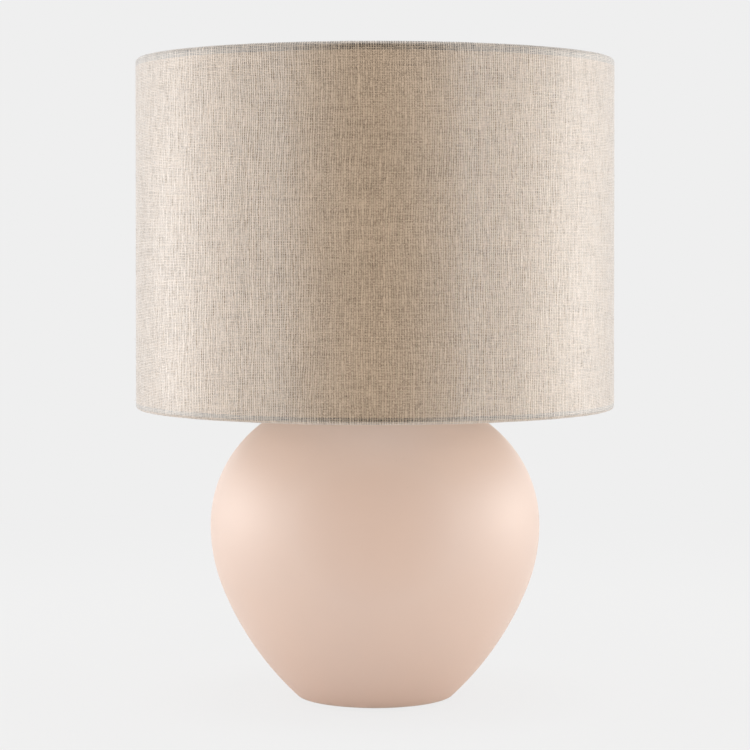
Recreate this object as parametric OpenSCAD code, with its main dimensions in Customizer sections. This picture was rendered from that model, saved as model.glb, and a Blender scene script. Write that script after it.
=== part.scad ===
// Table lamp: a matte ceramic body under a linen drum shade.
// The shade hangs from a wire harp by a washer spider and a screwed finial.
// Millimetres, +Z up. The origin is the middle of the felt pad's underside.
// The front of the lamp faces -Y, and the cord outlet is at the back, +Y.

/* [Shade] */
// Outer diameter of the drum shade
shade_d = 300; // [290:1:310]
// Height of the drum shade over its rolled hems
shade_h = 218; // [214:1:222]
// Height of the shade's top edge above the table
shade_top_z = 400; // [398:1:402]
// Thickness of the linen
linen_t = 0.6; // [0.5:0.1:0.7]
// Thickness of the white backing sheet
backing_t = 0.5; // [0.4:0.1:0.6]
// Thickness of the wire of both rings
ring_wire_d = 3; // [2.8:0.1:3.2]
// Thickness of the wire of the spider's arms
arm_wire_d = 3.2; // [3:0.1:3.4]
// Number of arms of the spider
arm_count = 3; // [2:1:4]

/* [Ceramic body] */
// Largest diameter of the body
body_d = 207; // [200:1:212]
// Height of the largest diameter above the table
belly_z = 108.5; // [106:0.5:109]
// Radius of the arc from the belly up to the neck
shoulder_arc_r = 78.5; // [77:0.5:79]
// Radius of the arc just below the belly
belly_arc_r = 105; // [100:1:110]
// Radius of the arc down to the foot
flank_arc_r = 190; // [180:5:200]
// How far down the belly arc runs before the flank begins, in degrees
belly_sweep = 22; // [20:1:24]
// Thickness of the ceramic wall
wall_t = 6; // [5:0.5:7]
// Diameter of the neck
neck_d = 40; // [38:1:42]
// Height of the neck's top face above the table
neck_top_z = 199; // [198:0.5:200]
// Height of the cord outlet above the table, on the outer face
outlet_z = 24; // [22:1:28]

/* [Foot] */
// Thickness of the felt pad
felt_t = 1; // [1:0.5:2]
// Diameter of the felt pad
felt_d = 88; // [87:1:90]
// Diameter of the plate that closes the foot
plate_d = 84; // [80:1:85]
// Thickness of that plate
plate_t = 3; // [2:0.5:3.5]

/* [Cord outlet] */
// Bore of the grommet, for a cord of 6 to 6.5 mm
grommet_bore_d = 7; // [6.5:0.1:7.5]
// Diameter of the hole that the grommet sits in
grommet_hole_d = 10; // [9.5:0.5:11]
// Diameter of the grommet's outer flange
grommet_flange_d = 16; // [15:1:18]

/* [Harp] */
// Thickness of the harp wire
harp_wire_d = 4; // [3.6:0.2:4.2]
// Distance between the middles of the harp's legs
harp_foot_w = 53.5; // [52:0.5:55]
// Width of the harp between the middles of its wire
harp_w = 114; // [110:1:118]
// Height of the middle of the harp's top wire above the table
harp_top_z = 381; // [380.8:0.1:381.2]
// Travel of each ferrule
ferrule_travel = 14; // [10:1:14]

/* [Socket and bulb] */
// Outer diameter of the brass socket shell
socket_d = 32.2; // [32:0.1:32.3]
// Outer diameter of the bulb's screw base
bulb_base_d = 26; // [25.8:0.1:26.2]
// Diameter of the glass bulb
bulb_d = 60; // [56:1:60]
// Height of the bulb's tip above the table
bulb_tip_z = 244.8; // [244.7:0.1:245]
// Length of the bulb over all
bulb_l = 107; // [105:1:108]
// Height of the switch knob's axis above the table
switch_z = 234; // [233:0.5:235]

/* [Hidden] */

$fn = 96;
eps = 0.01;
gap = 0.05;           // between pieces that are fixed to each other
moving_gap = 0.2;     // between flat faces of pieces that move apart

// Shade
shade_r = shade_d / 2;
shade_bottom_z = shade_top_z - shade_h;
ring_r = ring_wire_d / 2;
roll_in_r = ring_r + gap;               // inside of the linen where it rolls over a ring
roll_out_r = roll_in_r + linen_t;
ring_c_r = shade_r - roll_out_r;        // radius of the middle of each ring's wire
top_ring_z = shade_top_z - roll_out_r;
bottom_ring_z = shade_bottom_z + roll_out_r;
backing_r = shade_r - linen_t - gap;
backing_inset = 5;                      // from the shade's edge to the backing's edge
flap_drop = 4.9;                        // from the ring's middle to where the hem meets the backing
roll_turn = 210;                        // how far the linen turns round a ring before it runs to the backing
flap_l = 9;                             // from the ring's middle to the end of the hem

// Ceramic body
body_r = body_d / 2;
neck_r = neck_d / 2;
neck_fillet_r = 6;
neck_edge_r = 1.5;
neck_bore_r = 5.6;
neck_disc_t = 6;
neck_inner_r = 14;
shoulder_c = [body_r - shoulder_arc_r, belly_z];
belly_c = [body_r - belly_arc_r, belly_z];
flank_c = belly_c + (belly_arc_r - flank_arc_r) * [cos(belly_sweep), -sin(belly_sweep)];
foot_z = felt_t;
foot_round_r = 2.5;
ledge_z = foot_z + plate_t + gap;
ledge_l = 3;

// Cord outlet: its axis is square to the flank
outlet_tilt = asin((flank_c[1] - outlet_z) / flank_arc_r);
outlet_r = flank_c[0] + flank_arc_r * cos(outlet_tilt);
grommet_flange_t = 2;
grommet_lip_t = 1.5;

// Neck stack, from the neck's top face upwards and from its inner face downwards
pipe_r = 5;
pipe_bore_r = 3.5;
washer_t = 1;
cap_t = 1;
saddle_t = 1.5;
saddle_w = 12.7;
nut_t = 3.8;
nut_af = 14;
neck_under_z = neck_top_z - neck_disc_t;
steel_washer_t = 1.2;
lower_nut_t = 4.5;
cap_z = neck_top_z + washer_t;
saddle_z = cap_z + cap_t;
nut_z = saddle_z + saddle_t;
socket_z = nut_z + nut_t;
pipe_bottom_z = 181;
pipe_top_z = socket_z + 7;

// Harp
harp_r = harp_wire_d / 2;
harp_foot_x = harp_foot_w / 2;
harp_x = harp_w / 2;
harp_bend = 42;                         // how far the legs lean out, in degrees
harp_low_r = 18;
harp_mid_r = 40;
harp_high_r = 50;
harp_leg_z = 243;                       // where the straight legs end
lean_l = (harp_x - harp_foot_x - (harp_low_r + harp_mid_r) * (1 - cos(harp_bend))) / sin(harp_bend);
harp_side_z = harp_leg_z + (harp_low_r + harp_mid_r) * sin(harp_bend) + lean_l * cos(harp_bend);
harp_high_z = harp_top_z - harp_high_r;
tongue_z = 214;                         // the saddle's shoulders, which the ferrules rest on
tongue_top_z = 226;
tongue_w = 5;
boot_r = 3.2;                           // the legs' thicker ends, slotted for the tongues
boot_top_z = 228;
ferrule_in_r = boot_r + 0.15;
ferrule_out_r = 4.5;
ferrule_h = 12;
eye_r = 8;
eye_t = 3.2;
stud_r = 2.5;
stud_thread_r = 3.17;
stud_flange_r = 6;
stud_flange_z = harp_top_z + eye_t / 2 + moving_gap;
stud_flange_t = 1.6;
stud_top_z = 396;

// Spider and finial
hub_z = stud_flange_z + stud_flange_t + moving_gap;
hub_r = 13;
hub_t = 1.6;
arm_r = arm_wire_d / 2;
arm_z = hub_z + hub_t + gap + arm_r;
arm_start_r = 9;
arm_end_r = ring_c_r - ring_r - gap - arm_r;
arm_bend_r = 5;
finial_z = hub_z + hub_t + moving_gap;
finial_ball_r = 8.5;
finial_ball_z = finial_z + 11.4;
insert_z = finial_z + 0.3;
insert_h = 8;
insert_r = 5;

// Socket
socket_r = socket_d / 2;
socket_wall = 0.5;
socket_bottom_z = 225;
socket_top_z = 270;
interior_z = 216;
interior_top_z = 243.5;
interior_r = socket_r - 1.4;
interior_flat_x = 12.2;
terminal_z = 238;
stem_r = 2.2;
screw_shell_r = bulb_base_d / 2 + 0.35;

// Bulb
bulb_r = bulb_d / 2;
bulb_base_r = bulb_base_d / 2;
bulb_top_z = bulb_tip_z + bulb_l;
bulb_ball_z = bulb_top_z - bulb_r;
bulb_wall = 0.9;
thread_pitch = 3.63;
base_z = bulb_tip_z + 6.4;
base_top_z = bulb_tip_z + 26.2;

// Points along an arc, from angle a to angle b
function arc(c, r, a, b, n = 12) =
    [for (i = [0 : n]) c + r * [cos(a + (b - a) * i / n), sin(a + (b - a) * i / n)]];

// Points along a cubic curve with four control points
function cubic(p0, p1, p2, p3, n = 12) =
    [for (i = [0 : n]) let (t = i / n, s = 1 - t)
        s * s * s * p0 + 3 * s * s * t * p1 + 3 * s * t * t * p2 + t * t * t * p3];

// Angle at which an arc about c reaches the height z, below its centre
function angle_at(c, r, z) = -asin((c[1] - z) / r);

module turned(points) {
    rotate_extrude() polygon(points);
}

// A tube or ring about Z, from z0 up
module tube(r_out, r_in, z0, h) {
    translate([0, 0, z0]) difference() {
        cylinder(r = r_out, h = h);
        translate([0, 0, -1]) cylinder(r = r_in, h = h + 2);
    }
}

module hex_nut(z0, t) {
    translate([0, 0, z0]) difference() {
        cylinder(d = nut_af / cos(30), h = t, $fn = 6);
        translate([0, 0, -1]) cylinder(r = pipe_r + gap, h = t + 2);
    }
}

// Moves its children from the +Z axis on to the cord outlet's axis, with the origin on the flank
module at_outlet() {
    translate([0, outlet_r, outlet_z]) rotate([-90 - outlet_tilt, 0, 0]) children();
}

// ---- Ceramic body and foot ----

module ceramic_body() {
    flank_end = angle_at(flank_c, flank_arc_r - foot_round_r, foot_z + foot_round_r);
    foot_round_c = flank_c + (flank_arc_r - foot_round_r) * [cos(flank_end), sin(flank_end)];
    inner_end_z = 12;
    inner_end = angle_at(flank_c, flank_arc_r - wall_t, inner_end_z);
    outer = concat(
        [[neck_bore_r, neck_top_z]],
        arc([neck_r - neck_edge_r, neck_top_z - neck_edge_r], neck_edge_r, 90, 0, 4),
        arc([neck_r + neck_fillet_r, shoulder_c[1] + shoulder_arc_r + neck_fillet_r],
            neck_fillet_r, 180, 270, 8),
        arc(shoulder_c, shoulder_arc_r, 88, 0, 28),
        arc(belly_c, belly_arc_r, -1, -belly_sweep, 10),
        arc(flank_c, flank_arc_r, -belly_sweep - 1, flank_end, 14),
        arc(foot_round_c, foot_round_r, flank_end - 5, -90, 5));
    inner = concat(
        [[plate_d / 2 + gap, foot_z], [plate_d / 2 + gap, ledge_z],
         [plate_d / 2 - ledge_l, ledge_z], [plate_d / 2 - ledge_l, ledge_z + 3]],
        arc(flank_c, flank_arc_r - wall_t, inner_end, -belly_sweep - 1, 12),
        arc(belly_c, belly_arc_r - wall_t, -belly_sweep, -1, 10),
        arc(shoulder_c, shoulder_arc_r - wall_t, 0, 90, 24),
        [[neck_inner_r, belly_z + shoulder_arc_r - wall_t], [neck_inner_r, neck_under_z],
         [neck_bore_r, neck_under_z]]);
    color("#e3c3ae") difference() {
        turned(concat(outer, inner));
        at_outlet() translate([0, 0, -wall_t - 4]) cylinder(d = grommet_hole_d, h = wall_t + 14);
    }
}

module foot_plate() {
    color("#8a6a4a") translate([0, 0, foot_z]) cylinder(d = plate_d, h = plate_t);
}

module felt_pad() {
    color("#5b554e") cylinder(d = felt_d, h = felt_t);
}

// Flange outside, snap lip inside, and the cord's bore right through
module cord_grommet() {
    sleeve_r = grommet_hole_d / 2 - gap;
    lip_z = -wall_t - 0.4;
    color("#efe6dc") at_outlet() turned([
        [grommet_bore_d / 2, grommet_flange_t + gap], [sleeve_r, grommet_flange_t + gap],
        [grommet_flange_d / 2 - 0.6, grommet_flange_t - 0.4], [grommet_flange_d / 2, 0.8],
        [grommet_flange_d / 2, gap], [sleeve_r, gap],
        [sleeve_r, lip_z], [sleeve_r + 1.1, lip_z], [sleeve_r, lip_z - grommet_lip_t],
        [grommet_bore_d / 2, lip_z - grommet_lip_t]]);
}

// ---- Neck stack ----

module threaded_nipple() {
    color("#b9b6ae") tube(pipe_r, pipe_bore_r, pipe_bottom_z, pipe_top_z - pipe_bottom_z);
}

module lower_fibre_washer() {
    color("#6e3a2c") tube(12.8, pipe_r + gap, neck_under_z - washer_t, washer_t);
}

module lower_steel_washer() {
    color("#b9b6ae") tube(12, pipe_r + gap, neck_under_z - washer_t - steel_washer_t, steel_washer_t);
}

module lower_hex_nut() {
    color("#b9b6ae") hex_nut(neck_under_z - washer_t - steel_washer_t - lower_nut_t, lower_nut_t);
}

module upper_fibre_washer() {
    color("#6e3a2c") tube(12, pipe_r + gap, neck_top_z, washer_t);
}

// A spun brass cup over the top of the neck
module neck_cap() {
    cap_r = neck_r + 4;
    skirt_z = neck_top_z - 4.5;
    color("#c9a35c") turned(concat(
        [[pipe_r + gap, saddle_z]],
        arc([cap_r - 2.5, saddle_z - 2.5], 2.5, 90, 0, 6),
        [[cap_r, skirt_z], [cap_r - cap_t, skirt_z]],
        arc([cap_r - 2.5, saddle_z - 2.5], 2.5 - cap_t, 0, 90, 6),
        [[pipe_r + gap, cap_z]]));
}

// A bent strip that carries the harp: its ends stand up, and narrow to a tongue each
module harp_saddle() {
    arm_h = tongue_z - saddle_z;
    color("#c9a35c") difference() {
        union() {
            translate([-harp_foot_x, -saddle_w / 2, saddle_z])
                cube([2 * harp_foot_x, saddle_w, saddle_t]);
            for (side = [-1, 1]) translate([side * harp_foot_x, 0, 0]) {
                translate([-saddle_t / 2, -saddle_w / 2, saddle_z]) cube([saddle_t, saddle_w, arm_h]);
                translate([-saddle_t / 2, -tongue_w / 2, tongue_z - 1])
                    cube([saddle_t, tongue_w, tongue_top_z - tongue_z + 1]);
            }
        }
        translate([0, 0, saddle_z - 1]) cylinder(r = pipe_r + gap, h = saddle_t + 2);
    }
}

module upper_hex_nut() {
    color("#c9a35c") hex_nut(nut_z, nut_t);
}

// ---- Socket ----

// A threaded boss under a bowl that the shell presses into
module socket_cap() {
    boss_r = 8;
    boss_h = 5.4;
    bowl_r = socket_r + 0.1;
    color("#c9a35c") difference() {
        turned(concat(
            [[pipe_r + gap, socket_z], [boss_r, socket_z], [boss_r, socket_z + boss_h - 0.6]],
            cubic([boss_r + 0.6, socket_z + boss_h], [boss_r + 5, socket_z + boss_h + 1],
                  [bowl_r + 0.5, socket_z + boss_h + 6], [bowl_r + 0.6, socket_bottom_z], 8),
            [[bowl_r + 0.6, socket_bottom_z + 4.6], [bowl_r, socket_bottom_z + 4.6],
             [bowl_r, socket_bottom_z - gap]],
            cubic([bowl_r - 0.1, socket_bottom_z - 0.6], [bowl_r - 0.2, socket_z + boss_h + 6],
                  [boss_r + 4.6, socket_z + boss_h + 1.6], [boss_r - 1, socket_z + boss_h + 0.6], 8),
            [[pipe_r + gap, socket_z + boss_h + 0.6]]));
        translate([0, 0, socket_z + 2.6]) rotate([0, 90, 0]) cylinder(r = 1.55, h = boss_r + 1);
    }
}

module socket_set_screw() {
    color("#b9b6ae") translate([pipe_r + gap, 0, socket_z + 2.6]) rotate([0, 90, 0]) difference() {
        union() {
            cylinder(r = 1.5, h = 4.4);
            translate([0, 0, 3.2]) cylinder(r = 2.4, h = 1.6);
        }
        translate([-3, -0.3, 4.2]) cube([6, 0.6, 1]);
    }
}

// The moulded switch block, with flats for the terminals and a bore for the stem
module socket_interior() {
    color("#2b2724") difference() {
        translate([0, 0, interior_z]) cylinder(r = interior_r, h = interior_top_z - interior_z);
        translate([0, 0, interior_z - eps]) cylinder(r1 = 9.5, r2 = 7, h = 6);
        for (side = [-1, 1])
            translate([side * (interior_flat_x + 5), 0, interior_z + 10])
                cube([10, 40, 2 * (interior_top_z - interior_z)], center = true);
        translate([0, 0, interior_z - eps]) difference() {
            cylinder(r = interior_r + 1, h = 8);
            translate([0, 0, -1]) cylinder(r1 = 9.9, r2 = interior_r - 1.2, h = 9.1);
        }
        translate([0, 0, switch_z]) rotate([90, 0, 0]) cylinder(r = stem_r + gap, h = socket_r);
        for (side = [-1, 1])
            translate([side * (interior_flat_x - 4), 0, terminal_z]) rotate([0, side * 90, 0])
                cylinder(r = 1.6, h = 6);
    }
}

module terminal_screws() {
    for (side = [-1, 1])
        color(side > 0 ? "#c9a35c" : "#b9b6ae")
            translate([side * (interior_flat_x - 3.5), 0, terminal_z]) rotate([0, side * 90, 0])
                difference() {
                    union() {
                        cylinder(r = 1.5, h = 4);
                        translate([0, 0, 3.5 + gap]) cylinder(r = 3.1, h = 1.8);
                    }
                    translate([-4, -0.4, 4.6]) cube([8, 0.8, 1]);
                }
}

// A springy brass disc with a dimple that meets the bulb's tip
module socket_centre_contact() {
    color("#c9a35c") translate([0, 0, interior_top_z + gap]) {
        cylinder(r = 5, h = 0.4);
        cylinder(r1 = 3.2, r2 = 1.8, h = bulb_tip_z - interior_top_z - gap - moving_gap);
    }
}

module socket_screw_shell() {
    floor_z = interior_top_z + gap;
    color("#c9a35c") turned([
        [7, floor_z], [screw_shell_r + 0.4, floor_z], [screw_shell_r + 0.4, socket_top_z - 2.5],
        [screw_shell_r, socket_top_z - 2.5], [screw_shell_r, floor_z + 0.4], [7, floor_z + 0.4]]);
}

module insulating_sleeve() {
    outer_r = socket_r - socket_wall - gap;
    color("#3a352f") difference() {
        tube(outer_r, outer_r - 0.6, socket_bottom_z + 1, socket_top_z - socket_bottom_z - 2.6);
        translate([0, 0, switch_z]) rotate([90, 0, 0]) cylinder(r = 3.4, h = socket_r + 2);
    }
}

// The outer brass shell, with an inturned lip and a hole for the switch stem
module socket_shell() {
    color("#c9a35c") difference() {
        turned([
            [socket_r, socket_bottom_z], [socket_r, 230], [socket_r + 0.7, 231],
            [socket_r + 0.7, 231.6], [socket_r, 232.6 - 0.2], [socket_r, socket_top_z - 6.4],
            [socket_r + 0.6, socket_top_z - 5.6], [socket_r + 0.6, socket_top_z - 0.8],
            [socket_r - 0.2, socket_top_z], [socket_r - 1.6, socket_top_z],
            [socket_r - 1.6, socket_top_z - 0.5], [socket_r - socket_wall, socket_top_z - 0.8],
            [socket_r - socket_wall, socket_bottom_z]]);
        translate([0, 0, switch_z]) rotate([90, 0, 0]) cylinder(r = 3.2, h = socket_r + 3);
    }
}

// ---- Switch ----

module switch_stem() {
    color("#b9b6ae") translate([0, -6, switch_z]) rotate([90, 0, 0]) cylinder(r = stem_r, h = 19.9);
}

// A round collar with a flat paddle for the fingers
module switch_knob() {
    color("#1f1c1a") translate([0, -socket_r - 1.4, switch_z]) rotate([90, 0, 0]) difference() {
        union() {
            cylinder(r = 5, h = 7);
            translate([0, 0, 7]) cylinder(r1 = 5, r2 = 3.6, h = 2);
            hull() for (side = [-1, 1])
                translate([side * 3.6, 0, 5]) cylinder(r1 = 2.6, r2 = 1.5, h = 15, $fn = 24);
        }
        translate([0, 0, -1]) cylinder(r = stem_r + gap, h = 9.5);
    }
}

// ---- Bulb ----

module bulb_contact() {
    color("#c8c8c4") turned([
        [0, bulb_tip_z], [2.6, bulb_tip_z + 0.2], [4.4, bulb_tip_z + 0.9], [4.8, bulb_tip_z + 1.6],
        [4.8, bulb_tip_z + 2], [0, bulb_tip_z + 2]]);
}

module bulb_insulator() {
    color("#1d2226") turned([
        [0, bulb_tip_z + 2 + gap], [5.4, bulb_tip_z + 2 + gap], [11.4, base_z], [0, base_z]]);
}

// A rolled aluminium shell; the grooves stand for its thread
module bulb_screw_base() {
    groove = 0.55;
    turns = 4;
    steps = 10;
    thread_z = base_z + 1.5;
    color("#c9c9c6") turned(concat(
        [[0, base_z + gap], [11.4, base_z + gap]],
        [for (i = [0 : turns * steps])
            [bulb_base_r - groove * (1 - cos(360 * i / steps)) / 2 - 0.1,
             thread_z + thread_pitch * i / steps]],
        [[bulb_base_r - 0.1, base_top_z - 2.4], [bulb_base_r - 0.1, base_top_z],
         [bulb_base_r - 0.5, base_top_z], [bulb_base_r - 1, base_top_z - 2.4],
         [bulb_base_r - 1, base_z + 1.2], [0, base_z + 1.2]]));
}

// Outline of the glass, from its crown down to the neck
function glass_outline(inset) = concat(
    arc([0, bulb_ball_z], bulb_r - inset, 90, -30, 20),
    cubic([(bulb_r - inset) * cos(30), bulb_ball_z - (bulb_r - inset) * sin(30)],
          [(bulb_r - inset) * cos(30) - 7, bulb_ball_z - (bulb_r - inset) * sin(30) - 12.1],
          [bulb_base_r - 1.2 - inset, bulb_ball_z - 30],
          [bulb_base_r - 1.2 - inset, base_top_z - 2]));

module bulb_glass() {
    inner = glass_outline(bulb_wall);
    count = len(inner);
    color("#f2efe6") turned(concat(
        glass_outline(0),
        [for (i = [0 : count - 1]) inner[count - 1 - i]]));
}

// The glass mount inside the bulb
module bulb_stem() {
    stem_top_z = base_top_z + 34;
    color("#f2efe6") turned(concat(
        [[0, base_z + 3], [8.5, base_z + 3], [8.5, base_z + 4], [3.4, base_top_z + 4]],
        [[2.2, base_top_z + 12], [1.4, stem_top_z - 3], [2, stem_top_z - 1.4], [1.4, stem_top_z], [0, stem_top_z]]));
}

// Four straight glowing strips round the stem
module bulb_filaments() {
    color("#f0c860") for (turn = [45 : 90 : 315]) rotate([0, 0, turn])
        translate([8, 0, base_top_z + 12]) rotate([0, 4, 0]) cylinder(r = 1, h = 34, $fn = 24);
}

// ---- Harp ----

// One side of the harp, from its slotted end up to the eye
module harp_side() {
    translate([harp_foot_x, 0, boot_top_z - 1]) cylinder(r = harp_r, h = harp_leg_z - boot_top_z + 1);
    translate([harp_foot_x, 0, tongue_z + 0.6]) cylinder(r = boot_r, h = boot_top_z - tongue_z - 0.6);
    translate([harp_foot_x + harp_low_r, 0, harp_leg_z]) rotate([90, 0, 0])
        bent_wire(harp_low_r, 180 - harp_bend, harp_bend);
    translate([harp_foot_x + harp_low_r * (1 - cos(harp_bend)), 0, harp_leg_z + harp_low_r * sin(harp_bend)])
        rotate([0, harp_bend, 0]) cylinder(r = harp_r, h = lean_l);
    translate([harp_x - harp_mid_r, 0, harp_side_z]) rotate([90, 0, 0])
        bent_wire(harp_mid_r, -harp_bend, harp_bend);
    translate([harp_x, 0, harp_side_z]) cylinder(r = harp_r, h = harp_high_z - harp_side_z);
    translate([harp_x - harp_high_r, 0, harp_high_z]) rotate([90, 0, 0])
        bent_wire(harp_high_r, 0, 90);
    translate([eye_r - 1.4, 0, harp_top_z]) rotate([0, 90, 0])
        cylinder(r = harp_r, h = harp_x - harp_high_r - eye_r + 1.4);
}

// Part of a ring of the harp's wire, from the angle start, sweeping on by sweep;
// it runs a little past both ends, and is a hair thicker, so that the straight wires end inside it
module bent_wire(r, start, sweep) {
    over = 0.5;
    rotate([0, 0, start - over]) rotate_extrude(angle = sweep + 2 * over)
        translate([r, 0]) circle(r = harp_r + 0.02, $fn = 48);
}

module harp_frame() {
    slot_w = saddle_t + 0.3;
    color("#c9a35c") difference() {
        union() {
            harp_side();
            mirror([1, 0, 0]) harp_side();
            translate([0, 0, harp_top_z - eye_t / 2]) cylinder(r = eye_r, h = eye_t);
        }
        translate([0, 0, harp_top_z - eye_t]) cylinder(r = stud_r + 0.08, h = 2 * eye_t);
        for (side = [-1, 1])
            translate([side * harp_foot_x - slot_w / 2, -boot_r - 1, tongue_z])
                cube([slot_w, 2 * boot_r + 2, tongue_top_z - tongue_z + 0.3]);
    }
}

// A sleeve that locks a harp leg on to its tongue
module harp_ferrule(side) {
    color("#c9a35c") translate([side * harp_foot_x, 0, 0])
        tube(ferrule_out_r, ferrule_in_r, tongue_z + moving_gap, ferrule_h);
}

module harp_ferrule_left() {
    harp_ferrule(-1);
}

module harp_ferrule_right() {
    harp_ferrule(1);
}

// The swivelling screw that the shade sits on, riveted through the harp's eye
module harp_stud() {
    rivet_z = harp_top_z - eye_t / 2 - moving_gap;
    flange_top_z = stud_flange_z + stud_flange_t;
    color("#c9a35c") turned([
        [0, rivet_z - 1.6], [2.6, rivet_z - 1.6], [4, rivet_z - 0.6], [4, rivet_z],
        [stud_r, rivet_z], [stud_r, stud_flange_z], [stud_flange_r, stud_flange_z],
        [stud_flange_r, flange_top_z], [stud_thread_r, flange_top_z],
        [stud_thread_r, stud_top_z - 0.8], [stud_thread_r - 0.8, stud_top_z], [0, stud_top_z]]);
}

// ---- Shade ----

module spider_washer() {
    color("#c9a35c") tube(hub_r, 3.6, hub_z, hub_t);
}

// Each arm lies on the washer, runs out level and turns up to its weld on the top ring
module spider_arms() {
    level_l = arm_end_r - arm_bend_r - arm_start_r;
    color("#e9e6df") for (i = [0 : arm_count - 1]) rotate([0, 0, 90 + i * 360 / arm_count]) {
        translate([arm_start_r, 0, arm_z]) rotate([0, 90, 0]) cylinder(r = arm_r, h = level_l);
        translate([arm_end_r - arm_bend_r, 0, arm_z + arm_bend_r]) rotate([90, 0, 0])
            rotate([0, 0, 270]) rotate_extrude(angle = 90)
                translate([arm_bend_r, 0]) circle(r = arm_r, $fn = 48);
        translate([arm_end_r, 0, arm_z + arm_bend_r])
            cylinder(r = arm_r, h = top_ring_z - arm_z - arm_bend_r + 0.6);
    }
}

module shade_ring(z) {
    color("#e9e6df") translate([0, 0, z]) rotate_extrude($fn = 180)
        translate([ring_c_r, 0]) circle(r = ring_r, $fn = 48);
}

module shade_top_ring() {
    shade_ring(top_ring_z);
}

module shade_bottom_ring() {
    shade_ring(bottom_ring_z);
}

module shade_backing() {
    color("#f4f2ec") tube(backing_r, backing_r - backing_t,
        shade_bottom_z + backing_inset, shade_h - 2 * backing_inset);
}

// Half of the linen's section, from the middle of its height up and over the ring,
// as the outer face; the inner face is the same path, closer to the ring
function hem_outer(z, up) = concat(
    arc([ring_c_r, z], roll_out_r, 0, up * roll_turn, 14),
    [[backing_r - backing_t - linen_t - gap, z - up * flap_drop],
     [backing_r - backing_t - linen_t - gap, z - up * flap_l]]);

function hem_inner(z, up) = concat(
    [[backing_r - backing_t - gap, z - up * flap_l], [backing_r - backing_t - gap, z - up * (flap_drop - 0.15)]],
    arc([ring_c_r, z], roll_in_r, up * roll_turn, 0, 14));

// The linen wraps each ring and ends behind it; its top hem is slit at each arm
module shade_linen() {
    bottom_out = hem_outer(bottom_ring_z, -1);
    bottom_in = hem_inner(bottom_ring_z, -1);
    color("#b5a48e") difference() {
        rotate_extrude($fn = 180) polygon(concat(
            hem_outer(top_ring_z, 1), hem_inner(top_ring_z, 1),
            [for (i = [len(bottom_in) - 1 : -1 : 0]) bottom_in[i]],
            [for (i = [len(bottom_out) - 1 : -1 : 0]) bottom_out[i]]));
        for (i = [0 : arm_count - 1]) rotate([0, 0, 90 + i * 360 / arm_count])
            translate([arm_end_r - 6, -3, top_ring_z - flap_l - 1])
                cube([6 + arm_r + 0.4, 6, flap_l + 2]);
    }
}

// ---- Finial ----

module finial_insert() {
    color("#c9a35c") tube(insert_r, stud_thread_r + 0.08, insert_z, insert_h);
}

// A turned foot, a waist and a ball, bored for the insert
module finial_knob() {
    cavity_z = insert_z + insert_h + gap;
    waist_r = 6.2;
    waist_end = -acos(waist_r / finial_ball_r);
    color("#c9a35c") turned(concat(
        [[insert_r + gap, finial_z], [7.4, finial_z], [7.4, finial_z + 1.6], [waist_r, finial_z + 2.6]],
        arc([0, finial_ball_z], finial_ball_r, waist_end, 90, 20),
        [[0, cavity_z + 5], [stud_thread_r + 0.4, cavity_z + 5],
         [stud_thread_r + 0.4, cavity_z], [insert_r + gap, cavity_z]]));
}

ceramic_body();
foot_plate();
felt_pad();
cord_grommet();
threaded_nipple();
lower_fibre_washer();
lower_steel_washer();
lower_hex_nut();
upper_fibre_washer();
neck_cap();
harp_saddle();
upper_hex_nut();
socket_cap();
socket_set_screw();
socket_interior();
terminal_screws();
socket_centre_contact();
socket_screw_shell();
insulating_sleeve();
socket_shell();
switch_stem();
switch_knob();
bulb_contact();
bulb_insulator();
bulb_screw_base();
bulb_stem();
bulb_filaments();
bulb_glass();
harp_frame();
harp_ferrule_left();
harp_ferrule_right();
harp_stud();
spider_washer();
spider_arms();
shade_top_ring();
shade_bottom_ring();
shade_backing();
shade_linen();
finial_insert();
finial_knob();
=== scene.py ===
"""A table lamp: a matte blush ceramic body under a natural linen drum shade.

The shade sits on a brass harp by a washer spider and a turned finial. The scene is in metres
in the lamp's own frame: +Z up from the table, the front towards -Y, the cord outlet at +Y.
The sizes of its pieces are written in millimetres, and MM turns them into metres.
"""
import math

import bmesh
import bpy
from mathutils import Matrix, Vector, noise


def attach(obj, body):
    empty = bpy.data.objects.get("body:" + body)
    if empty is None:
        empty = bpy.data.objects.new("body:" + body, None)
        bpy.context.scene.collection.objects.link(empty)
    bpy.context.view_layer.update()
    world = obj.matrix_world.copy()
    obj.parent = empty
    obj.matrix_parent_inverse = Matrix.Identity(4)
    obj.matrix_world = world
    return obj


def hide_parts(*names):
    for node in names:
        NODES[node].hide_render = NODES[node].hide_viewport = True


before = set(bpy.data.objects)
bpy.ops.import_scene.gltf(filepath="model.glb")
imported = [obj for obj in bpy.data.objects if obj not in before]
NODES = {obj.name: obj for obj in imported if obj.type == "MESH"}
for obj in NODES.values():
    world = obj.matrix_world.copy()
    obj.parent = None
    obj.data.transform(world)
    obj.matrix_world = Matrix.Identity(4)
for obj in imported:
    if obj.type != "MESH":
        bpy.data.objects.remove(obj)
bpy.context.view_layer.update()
MM = 0.001
TAU = 2 * math.pi


# ---------------------------------------------------------------- camera

def set_up_camera():
    """A long lens, level with the upper part of the body, a metre and a half in front."""
    lens = bpy.data.cameras.new("studio_camera")
    lens.lens = 113.1
    lens.sensor_width = 36.0
    lens.shift_y = -0.13
    camera = bpy.data.objects.new("studio_camera", lens)
    camera.location = (0.0, -1.485, 0.2854)
    camera.rotation_euler = (math.radians(90 - 0.84), 0.0, 0.0)
    bpy.context.scene.collection.objects.link(camera)
    bpy.context.scene.camera = camera
    bpy.context.scene.view_settings.view_transform = "Standard"


# ---------------------------------------------------------------- wiring nodes

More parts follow.
